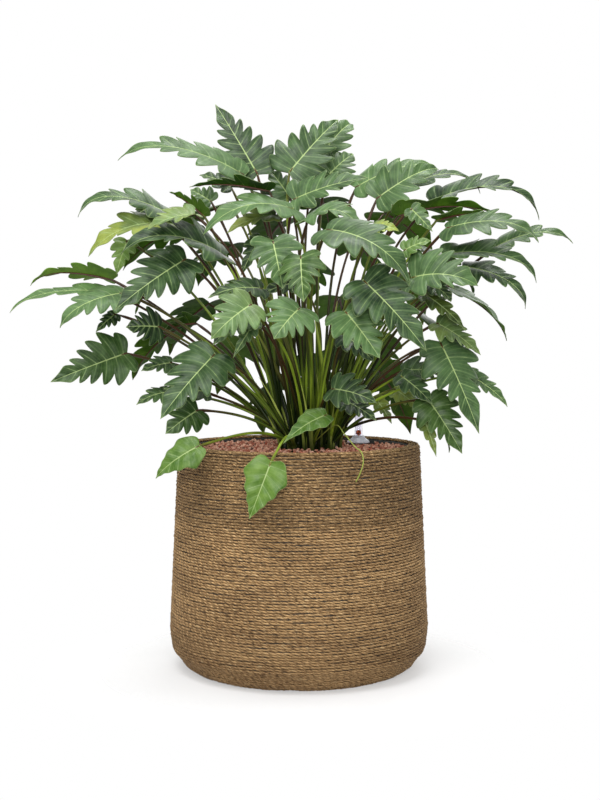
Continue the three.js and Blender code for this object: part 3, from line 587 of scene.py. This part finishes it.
def roll_tube(bm, points, radii, sides, **traits):
    """Rolls a flat grid into a tube along the points; each trait is a value, or a list with one a ring."""
    rings = len(points)
    layers = trait_layers(bm, ["around", *traits])
    made = bmesh.ops.create_grid(bm, x_segments=rings - 1, y_segments=sides, size=1)["verts"]
    ways = [(b - a).normalized() for a, b in zip(points, points[1:])]
    ways.append(ways[-1])
    across = ways[0].orthogonal().normalized()
    frames = []
    for way in ways:
        across = (across - way * across.dot(way)).normalized()
        frames.append((across, way.cross(across)))
    for number, vert in enumerate(made):
        ring, place = number % rings, number // rings
        angle = 2 * math.pi * place / sides
        out = frames[ring][0] * math.cos(angle) + frames[ring][1] * math.sin(angle)
        vert.co = (points[ring] + out * radii[ring]) * MM
        vert[layers["around"]] = place / sides
        for name, values in traits.items():
            vert[layers[name]] = values[ring] if isinstance(values, list) else values
    bmesh.ops.remove_doubles(bm, verts=made, dist=0.000001)


def close_tubes(bm):
    bmesh.ops.holes_fill(bm, edges=[edge for edge in bm.edges if edge.is_boundary], sides=0)
    bmesh.ops.recalc_face_normals(bm, faces=bm.faces)


# Planter, rope and filling


def make_core(material):
    side = [(r - ROPE - GAP, z) for r, z in OUTSIDE]
    side[-1] = (side[-1][0], RIM_Z - ROPE - GAP)
    profile = rounded([(0, 0), (FOOT_R, 0), *side, *reversed(INSIDE)], 1.5)
    turn_piece("planter_core_moulded", "planter_core", "planter_core", profile, ROUND_STEPS, material)


def wound_line():
    """The middle of the cord, up the planter's side and then in over its rim, one point a millimetre."""
    half = ROPE / 2
    corners = [Vector((r - half, z)) for r, z in OUTSIDE]
    corners[-1].y = RIM_Z - half - 1
    corners += [Vector((OUTSIDE[-1][0] - half - 1, RIM_Z - half)), Vector((LIP_R + half, RIM_Z - half))]
    line = []
    for start, end in zip(corners, corners[1:]):
        count = max(1, round((end - start).length))
        line += [start.lerp(end, i / count) for i in range(count)]
    return line + [corners[-1]]


def wind_rope(material):
    """One cord wound turn on turn, a little uneven, cut into pieces that follow on from each other."""
    line = wound_line()
    turns = (len(line) - 1) / ROPE
    total = int(turns * TURN_STEPS)
    cuts = [round(total * i / ROPE_PIECES) for i in range(ROPE_PIECES + 1)]
    dice = random.Random(11)
    for number, (first, last) in enumerate(zip(cuts, cuts[1:])):
        points, radii, lengths = [], [], []
        for i in range(first, last + 1):
            turn = i / TURN_STEPS
            spot = turn * ROPE
            k = min(int(spot), len(line) - 2)
            r, z = line[k].lerp(line[k + 1], spot - k)
            angle = 2 * math.pi * turn
            sway = 0.4 * math.sin(3 * angle + z / 17) + 0.2 * math.sin(9 * angle + 2.4 * turn)
            sway += 0.18 * math.sin(17 * angle - 4.1 * turn)
            lift = 0.25 * math.sin(6 * angle + 1.9 * turn) + 0.2 * math.sin(13 * angle + turn)
            if z > RIM_Z - ROPE:
                sway = 0
            sway += dice.uniform(-0.35, 0.35)
            r += lift - 0.3 + dice.uniform(-0.25, 0.25)
            z = max(z + sway, ROPE / 2 + 0.3)
            points.append(Vector((r * math.sin(angle), -r * math.cos(angle), z)))
            thick = 0.93 + 0.06 * math.sin(i / 9.7) + dice.uniform(-0.1, 0.1)
            radii.append(ROPE / 2 * thick)
            lengths.append(2 * math.pi * TURN_R * turn)
        bm = bmesh.new()
        roll_tube(bm, points, radii, 6, length_mm=lengths)
        close_tubes(bm)
        finish_piece(f"rope_{number + 1}", bm, "rope", "rope_winding", materials=[material])


def scatter_granules(material, spots):
    """Loose granules on a jittered grid over the filling, clear of the stems and the gauge."""
    dice = random.Random(7)
    bm = bmesh.new()
    shade = bm.verts.layers.float.new("shade")
    limit = LIP_R - GRAIN / 2
    rows = int(limit / (GRAIN * ROW_STEP))
    for row in range(-rows, rows + 1):
        for column in range(-rows - 8, rows + 9):
            x = (column + 0.5 * (row % 2)) * GRAIN + dice.uniform(-STRAY, STRAY) * GRAIN
            y = row * GRAIN * ROW_STEP + dice.uniform(-STRAY, STRAY) * GRAIN
            to_gauge = math.hypot(x - GAUGE_X, y - GAUGE_Y)
            taken = any(math.hypot(x - a, y - b) < STEM_R + 2 for a, b in spots)
            if math.hypot(x, y) > limit or taken or to_gauge < TUBE_R + 3:
                continue
            size = GRAIN * dice.uniform(0.38, 0.52)
            high = dice.uniform(*(PROUD if dice.random() < PROUD_SHARE else LOW))
            if to_gauge < COLLAR_R + 5:
                high = -2
            elif abs(x - GAUGE_X) < COLLAR_R + 4 and GAUGE_Y - 60 < y < GAUGE_Y:
                high = min(high, -0.6)
            middle = Vector((x, y, FILL_Z + high))
            tone = dice.random()
            flat = dice.uniform(0.65, 1)
            for vert in bmesh.ops.create_icosphere(bm, subdivisions=1, radius=1)["verts"]:
                out = vert.co * size * dice.uniform(0.72, 1.18)
                out.z *= flat
                vert.co = (middle + out) * MM
                vert[shade] = tone
    finish_piece("loose_granules", bm, "granules", materials=[material], smooth=False)


# Water gauge


def make_gauge(clear, red, grey):
    floor = TUBE_FOOT + LIP_RISE
    inner = rounded([(TUBE_BORE - TUBE_LIP, TUBE_FOOT), (TUBE_BORE - TUBE_LIP, floor), (TUBE_BORE, floor),
                     (TUBE_BORE, TUBE_TOP - TUBE_CAP), (0, TUBE_TOP - TUBE_CAP)], 0.5)
    tube = [*reversed(inner), *rounded([(TUBE_R, TUBE_FOOT), (TUBE_R, TUBE_TOP), (0, TUBE_TOP)], 3, 5)]
    turn_piece("gauge_tube_clear", "gauge_clear", "gauge_tube", tube, 48, clear, GAUGE_X, GAUGE_Y)
    low = floor + GAP
    bob = [(0, low), (FLOAT_R, low), (FLOAT_R, low + BOB_LENGTH + 1), (ROD_R, low + BOB_LENGTH + 3),
           (ROD_R, BEAD_Z - BEAD_HALF), (FLOAT_R, BEAD_Z - BEAD_HALF + 1), (FLOAT_R, BEAD_Z + BEAD_HALF - 1),
           (0, BEAD_Z + BEAD_HALF)]
    turn_piece("gauge_float_red", "gauge_float", "gauge_float", rounded(bob, 2), 32, red, GAUGE_X, GAUGE_Y)
    bore = TUBE_R + GAP + 0.1
    high = COLLAR_FOOT + COLLAR_RISE
    collar = [(bore, COLLAR_FOOT + 8), (bore, COLLAR_FOOT), (COLLAR_R, COLLAR_FOOT),
              (COLLAR_R, COLLAR_FOOT + 2), (bore + 4, high - 4), (bore + 2, high), (bore, high),
              (bore, COLLAR_FOOT + 8)]
    turn_piece("gauge_collar_grey", "gauge_collar", "gauge_collar", rounded(collar, 1), 64, grey,
               GAUGE_X, GAUGE_Y)


# Fronds: the same curves and blades as the solids have


def draw(i, k):
    """A steady draw between 0 and 1 for frond i, trait k."""
    raw = math.sin(i * 12.9898 + k * 78.233) * 43758.5453
    return raw - math.floor(raw)


def seen(spot, shift):
    """Where the eye sees a column and row at a depth."""
    column, row, depth = spot
    reach = (depth + shift - EYE.y) / PIXELS_A_RADIAN
    return Vector(((column - EYE_COLUMN) * reach, depth + shift, EYE.z - (row - EYE_ROW) * reach))


def bezier(curve, t):
    s = 1 - t
    return s ** 3 * curve[0] + 3 * s * s * t * curve[1] + 3 * s * t * t * curve[2] + t ** 3 * curve[3]


def bezier_way(curve, t):
    s = 1 - t
    first, middle, last = curve[1] - curve[0], curve[2] - curve[1], curve[3] - curve[2]
    return (s * s * first + 2 * s * t * middle + t * t * last).normalized()


def spaced(curve, count, steps=100):
    """Points at even distances along a curve, and its length."""
    line = [bezier(curve, i / steps) for i in range(steps + 1)]
    travelled = [0]
    for a, b in zip(line, line[1:]):
        travelled.append(travelled[-1] + (b - a).length)
    points = [line[0]]
    k = 1
    for i in range(1, count):
        goal = travelled[-1] * i / count
        while travelled[k] < goal:
            k += 1
        share = (goal - travelled[k - 1]) / (travelled[k] - travelled[k - 1])
        points.append(line[k - 1].lerp(line[k], share))
    return points + [line[-1]], travelled[-1]


def lobed_to(lobes):
    """Where the notches end, as a share of the side veins: the more lobes, the shorter the end lobe."""
    return 0.34 + 0.055 * max(lobes, 3)


def notch(place, lobes):
    """How deep the edge is cut at a place among the lobes: 0 at a tip, 1 in the notch before the next."""
    if not LOBE_TIP <= place <= lobes + LOBE_TIP:
        return 0
    share = place % 1
    return (1 - share / LOBE_TIP) ** 2 if share < LOBE_TIP else ((share - LOBE_TIP) / (1 - LOBE_TIP)) ** 1.7


class Frond:
    """One leaf: the curve of its midrib, the way its blade lies, and its own fold, droop and wave."""

    def __init__(self, name, index, start, end, normal, breadth, lobes, arch, curl):
        self.name, self.index, self.start, self.breadth, self.lobes = name, index, start, breadth, lobes
        chord = end - start
        reach = chord.length
        self.along = chord.normalized()
        normal = (normal - self.along * normal.dot(self.along)).normalized()
        self.across = self.along.cross(normal)
        rise = 1.33 * arch * reach
        first = start + self.along * 0.33 * reach + normal * rise
        second = start + self.along * (0.7 + 0.4 * curl) * reach + normal * (rise + 0.35 * curl * reach)
        self.rib = (start, first, second, end)
        self.length = spaced(self.rib, 1, 200)[1]
        self.phase = 6.28 * draw(index, 1)
        self.fold = FOLD * (0.6 + 0.8 * draw(index, 2))
        self.droop = DROOP * (0.6 + 0.8 * draw(index, 3))

    def vein(self, q):
        """Side vein at share q: its foot on the midrib, angle, place among the lobes, cut and reach."""
        foot = q ** 1.15
        angle = math.radians(26 + 60 * (1 - q) ** 1.1 + 40 * (1 - q) ** 8)
        full = self.breadth * 1.25 * min(1, q / 0.2) ** 0.35 * (1 - q ** 1.2)
        place = self.lobes * q / lobed_to(self.lobes)
        cut = notch(place, self.lobes)
        if not self.lobes:
            full *= 1 - SCALLOP * math.sin(5 * math.pi * q) ** 2
        room = END_ROOM * (1 - foot) * self.length / math.cos(min(angle, 1.25))
        reach = full * room / (full ** 5 + room ** 5 + 1e-9) ** 0.2
        return foot, angle, place, cut, reach * (1 - SINUS * min(1, 0.35 + 0.25 * place) * cut)

    def point(self, vein, t, side, lift=0.0, puff=0.0):
        """A point at share t out along a vein, lifted off the blade's middle or puffed up with it."""
        foot, angle, place, cut, reach = vein
        out = reach * t
        x = foot + (out * math.cos(angle) + HOOK * out * t * (1 - cut)) / self.length
        y = out * math.sin(angle)
        held = min(1.0, max(0.0, x))
        tangent = bezier_way(self.rib, held)
        normal = self.across.cross(tangent)
        k = y / self.breadth
        wave = WAVE * math.sin(2.1 * place + self.phase + side)
        height = self.fold * y + self.breadth * k * k * (wave - self.droop) + puff
        slope = side * (self.fold - 2 * self.droop * k)
        off = (normal - self.across * slope).normalized()
        at = bezier(self.rib, held) + tangent * (x - held) * self.length
        return at + self.across * side * y + normal * height + off * lift


def seen_frond(i, shift):
    name, base, tip, breadth, lobes, face, arch, curl = FRONDS[i]
    start, end = seen(base, shift), seen(tip, shift)
    along = (end - start).normalized()
    to_eye = EYE - start
    to_eye = (to_eye - along * to_eye.dot(along)).normalized()
    side = along.cross(to_eye)
    if side.z + 0.3 * side.x < 0:
        side = -side
    turn = math.radians(face)
    normal = to_eye * math.cos(turn) + side * math.sin(turn)
    return Frond(name, i, start, end, normal, breadth, lobes, arch, curl)


def far_frond(i, shift):
    index = len(FRONDS) + i
    heading = math.pi * (0.06 + 0.88 * ((i * GOLDEN) % 1))
    out = Vector((math.cos(heading), math.sin(heading), 0))
    level = (i + 0.5) / FAR_FRONDS
    away = 100 + 115 * math.sin(math.pi * (0.1 + 0.8 * level)) + shift
    start = CLUMP + out * away + UP * (85 + 300 * level)
    dip = 0.95 - 0.5 * level
    length = 115 + 35 * draw(index, 4)
    end = start + out * length * math.cos(dip) - UP * length * math.sin(dip)
    aside = Vector((-out.y, out.x, 0))
    normal = UP + out * 0.2 + aside * (draw(index, 5) - 0.5)
    return Frond(f"far_{i + 1}", index, start, end, normal, 45, 3, 0.1, 0.1)


def petiole_curve(frond, spot, bow):
    root = Vector((spot[0], spot[1], FILL_Z + STEM_RISE - 9))
    out = frond.start - root
    reach = out.length
    out.normalize()
    root += Vector((out.x, out.y, 0)) * 3
    swing = Vector((-out.y, out.x, 0)).normalized()
    rise = (out * 0.7 + UP * 0.45).normalized()
    entry = (out * 0.9 + frond.along * 0.3 - UP * 0.1).normalized()
    low = root + rise * 0.38 * reach + swing * 0.5 * bow
    high = frond.start - entry * 0.3 * reach + swing * bow
    seat = SEAT * frond.length / (3 * (frond.rib[1] - frond.start).length)
    return (root, low, high, bezier(frond.rib, seat))


def stem_spots():
    spots = []
    for count, radius, start in STEM_RINGS:
        for i in range(count):
            angle = 2 * math.pi * (start + i / count)
            spots.append((CLUMP.x + radius * math.cos(angle), CLUMP.y + radius * math.sin(angle)))
    return spots


def corners_of(node):
    """The corners of a solid, in mm, to look up the nearest one."""
    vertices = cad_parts[node].data.vertices
    tree = KDTree(len(vertices))
    for vertex in vertices:
        tree.insert(vertex.co / MM, vertex.index)
    tree.balance()
    return tree


def settle(make, shoots):
    """The shoot, depth and bow at which a frond stands in the solids."""
    best = None
    for shift in DEPTH_SHIFTS:
        frond = make(shift)
        lobes = max(frond.lobes, 3)
        tip, lobe = frond.vein(1), frond.vein((1 + LOBE_TIP) * lobed_to(lobes) / lobes)
        half = SOLID_BLADE / 2
        marks = [frond.point(tip, 0, 1, half), frond.point(tip, 0, 1, -half)]
        marks += [frond.point(lobe, 1, side, half) for side in (1, -1)]
        for shoot in shoots:
            miss = sum(min(FURTHEST_MISS, shoot["corners"].find(mark)[2]) for mark in marks)
            if best is None or miss < best[0]:
                best = (miss, frond, shoot)
    miss, frond, shoot = best
    if miss > TOLD_MISS:
        print("frond", frond.name, "lies", round(miss, 2), "mm off the solids")

    def stray(bow):
        marks = spaced(petiole_curve(frond, shoot["spot"], bow), 4)[0][1:-1]
        return sum(abs(shoot["corners"].find(mark)[2] - PETIOLE_R) for mark in marks)
    shoot["fronds"].append((frond, petiole_curve(frond, shoot["spot"], min(SIDE_BOWS, key=stray))))


def lay_blade(bm, frond):
    """A lobed blade from a flat grid: one way runs up the midrib, the other out along the side veins."""
    lobes = max(frond.lobes, 3)
    a_share = lobes / lobed_to(lobes)
    places = [i + share for i in range(lobes) for share in LOBE_STOPS]
    places += [lobes + share for share in LOBE_STOPS if share <= LOBE_TIP]
    last = places[-1] / a_share
    ups = [place / a_share for place in places]
    ups += [last + (1 - last) * i / END_STEPS for i in range(1, END_STEPS + 1)]
    columns = [(1, t) for t in reversed(OUT_STOPS[1:])] + [(-1, t) for t in OUT_STOPS]
    names = ("rib_mm", "vein_mm", "edge_mm", "along", "place", "young", "yellow", "shade")
    layers = trait_layers(bm, names)
    made = bmesh.ops.create_grid(bm, x_segments=len(ups) - 1, y_segments=len(columns) - 1, size=1)["verts"]
    veins = [frond.vein(q) for q in ups]
    nearest = [frond.vein(min(1, (max(0, round(q * a_share - LOBE_TIP)) + LOBE_TIP) / a_share)) for q in ups]
    # the frond's tone, with the painted shade and painted highlight of the SHADE table
    shade = SHADE.get(frond.name, 0) + 0.3 * (draw(frond.index, 7) - 0.5)
    for number, vert in enumerate(made):
        k = number % len(ups)
        side, t = columns[number // len(ups)]
        foot, angle, place, cut, reach = veins[k]
        off_vein = ups[k] * a_share - LOBE_TIP
        ripple = -math.cos(2 * math.pi * off_vein) * math.sin(math.pi * min(1, 1.15 * t))
        curl = math.sin(math.pi * ups[k] * a_share + 5 * frond.phase + 2 * side) * t ** 3 * frond.breadth
        at = frond.point(veins[k], t, side, 0, (QUILT * ripple + RUFFLE * curl) * (1 - foot) ** 0.5)
        vert.co = at * MM
        traits = (reach * t * math.sin(angle), (at - frond.point(nearest[k], t, side)).length if t else 0,
                  reach * (1 - t), foot, off_vein, YOUNG.get(frond.name, 0), YELLOW.get(frond.name, 0), shade)
        for name, value in zip(names, traits):
            vert[layers[name]] = value


def lay_stalk(bm, frond, curve):
    """A petiole from its sheath in the granules up, and the midrib that it becomes under the blade."""
    out = curve[1] - curve[0]
    foot = curve[0] + 2 * Vector((out.x, out.y, 0)).normalized() - SHEATH * UP
    points = [foot, *spaced(curve, STALK_STEPS)[0]]
    along = [0, *[i / STALK_STEPS for i in range(STALK_STEPS + 1)]]
    radii = [TOP_THICK + (FOOT_THICK - TOP_THICK) * (1 - share) ** 1.5 for share in along]
    radii[0] = radii[1] = FOOT_SWELL * FOOT_THICK
    radii[-2] = radii[-3] = TOP_SWELL * TOP_THICK
    midrib = [0] * len(points)
    for i in range(1, RIB_STEPS + 1):
        share = RIB_FROM + RIB_REACH * i / RIB_STEPS
        thick = RIB_THIN + RIB_THICK * (1 - share) ** 1.2
        normal = frond.across.cross(bezier_way(frond.rib, share))
        points.append(bezier(frond.rib, share) - normal * (thick * 0.9))
        radii.append(thick)
        along.append(1)
        midrib.append(1)
    shade = max(draw(frond.index, 9), YOUNG.get(frond.name, 0))
    roll_tube(bm, points, radii, 8, along=along, midrib=midrib, shade=shade, spear=0)


def raise_spears(bm, shoot, number):
    """Young leaves still rolled up: short yellow-green spears, and some on a stalk as long as the others."""
    spot = Vector((*shoot["spot"], FILL_Z - 2))
    outward = Vector((spot.x - CLUMP.x, spot.y - CLUMP.y, 0)).normalized()
    for k in range(SPEARS):
        aside = Vector((-outward.y, outward.x, 0)) * (draw(number, 20 + k) - 0.5)
        lean = outward * (0.1 + 0.3 * draw(number, 30 + k)) + aside * 0.6
        tall = k >= SPEARS // 2
        least, more = TALL_HEIGHT if tall else SHORT_HEIGHT
        height = least + more * draw(number, 40 + k)
        start = spot + (outward + aside * 2) * (STEM_R - 1)
        curve = (start, start + UP * 0.3 * height, start + (UP * 0.7 + lean * 0.5) * height,
                 start + (UP + lean) * height)
        radii = TALL_SPEAR if tall else SHORT_SPEAR
        young = [min(1, max(0, 2 * i / len(radii) - 1)) for i in range(len(radii))] if tall else 1
        along = [0.7 * i / len(radii) for i in range(len(radii))]
        roll_tube(bm, spaced(curve, len(radii) - 1)[0], list(radii), 7, along=along, midrib=0,
                  shade=draw(number, 50 + k), spear=young)


def grow_shoot(shoot, number, rooted, face, back, rind):
    """A shoot's two pieces: all its blades, and its stem, petioles and spears, with the root if it has it."""
    bm = bmesh.new()
    for frond, _ in shoot["fronds"]:
        lay_blade(bm, frond)
    bmesh.ops.remove_doubles(bm, verts=bm.verts, dist=0.000001)
    piece = finish_piece(f"blades_{number:02d}", bm, "foliage", shoot["node"], materials=[face, back])
    sheet = piece.modifiers.new("thickness", "SOLIDIFY")
    sheet.thickness = BLADE * MM
    sheet.offset = 0
    sheet.material_offset = 1
    bm = bmesh.new()
    x, y = shoot["spot"]
    rings = [FILL_Z - STEM_SUNK + i * SCAR_STEP for i in range(SCARS + 1)]
    radii = [STEM_R - 2 + 0.4 * (i % 2) for i in range(SCARS)] + [STEM_R - 5]
    # the stem's along of 0.1 puts it in the rind's painted shade at the foot
    roll_tube(bm, [Vector((x, y, z)) for z in rings], radii, 14, along=0.1, midrib=0, shade=0.3, spear=0)
    for frond, curve in shoot["fronds"]:
        lay_stalk(bm, frond, curve)
    raise_spears(bm, shoot, number)
    if rooted:
        hang_root(bm, shoot["spot"])
    close_tubes(bm)
    finish_piece(f"stalks_{number:02d}", bm, "foliage", shoot["node"], materials=[rind])


def hang_root(bm, spot):
    """The thin root from the stem over the rim: its corners joined by a smooth line."""
    corners = [Vector((*spot, FILL_Z + 12)), *[Vector(corner) for corner in ROOT_PATH]]
    corners = [corners[0], *corners, corners[-1]]
    points = []
    for a, b, c, d in zip(corners, corners[1:], corners[2:], corners[3:]):
        for i in range(6):
            t = i / 6
            points.append(0.5 * (2 * b + (c - a) * t + (2 * a - 5 * b + 4 * c - d) * t ** 2
                                 + (3 * b - a - 3 * c + d) * t ** 3))
    points.append(corners[-1])
    radii = [ROOT_R] * (len(points) - 3) + [0.9 * ROOT_R, 0.6 * ROOT_R, 0.3 * ROOT_R]
    roll_tube(bm, points, radii, 7, along=0.4, midrib=0, shade=0.1, spear=0.9)


# Stage


def set_stage():
    """A white floor that fades out round the planter, and a room lit by large soft lamps. The camera sees the
    room as plain white, straight and through the clear tube; all else gets its dimmer light."""
    bm = bmesh.new()
    bmesh.ops.create_grid(bm, x_segments=1, y_segments=1, size=12)
    material, tree = start_material("painted_floor", Roughness=0.9)
    place = add(tree, "TexCoord")
    cloud = add(tree, "TexNoise", {"Vector": place, "Scale": 2.0})
    colour = add(tree, "Mix", {0: cloud, 6: 0xF6F6F6, 7: 0xFAFAFA})
    away = add(tree, "VectorMath", {0: place}, "Value", operation="LENGTH")
    solid = add(tree, "MapRange", {"Value": away, 1: 0.16, 2: 0.4, 3: 0.6, 4: 0.0}, **SMOOTH)
    floor = stand("floor", bm, link_up(material, Base_Color=colour, Alpha=solid))
    world = bpy.data.worlds.new("room")
    bpy.context.scene.world = world
    world.use_nodes = True
    tree = world.node_tree
    straight = add(tree, "LightPath", out="Is Camera Ray")
    through = add(tree, "LightPath", out="Is Transmission Ray")
    plain = add(tree, "Math", {0: straight, 1: through}, operation="MAXIMUM")
    strength = add(tree, "Math", {0: plain, 1: 1 - ROOM_LIGHT, 2: ROOM_LIGHT}, operation="MULTIPLY_ADD")
    ground = tree.nodes["Background"].inputs
    ground["Color"].default_value = linear(0xFFFFFF)
    tree.links.new(strength, ground["Strength"])
    for name, place, aim, size, power in LAMPS:
        lamp = bpy.data.lights.new(name, "AREA")
        lamp.shape = "DISK"
        lamp.size = size
        lamp.energy = power
        light = bpy.data.objects.new(name, lamp)
        light.location = place
        light.rotation_euler = (Vector(aim) - Vector(place)).to_track_quat("-Z", "Y").to_euler()
        bpy.context.scene.collection.objects.link(light)
    bpy.context.scene.view_settings.view_transform = "Standard"


set_camera()
set_stage()
make_core(moulded_core())
wind_rope(seagrass_cord())
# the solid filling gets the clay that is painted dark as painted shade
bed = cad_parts["clay_granules"].data.materials
bed.clear()
bed.append(clay_bed())
scatter_granules(fired_clay(), stem_spots())
make_gauge(clear_acrylic(), moulded_plastic("moulded_plastic_red", (0xFF4416, 0xFF8A3C)),
           moulded_plastic("moulded_plastic_lilac_grey", (0xDCDCEC, 0xF2F2FC)))
shoots = [{"node": f"shoot_{i + 1:02d}", "spot": spot, "fronds": []} for i, spot in enumerate(stem_spots())]
for shoot in shoots:
    shoot["corners"] = corners_of(shoot["node"])
for i in range(len(FRONDS)):
    settle(lambda shift: seen_frond(i, shift), shoots)
for i in range(FAR_FRONDS):
    settle(lambda shift: far_frond(i, shift), shoots)
root_foot = Vector(ROOT_PATH[0][:2])
nearest = min(shoots, key=lambda shoot: (Vector(shoot["spot"]) - root_foot).length)
leaf_materials = (leaf_face(), leaf_back(), petiole_rind())
for number, shoot in enumerate(shoots):
    grow_shoot(shoot, number + 1, shoot is nearest, *leaf_materials)
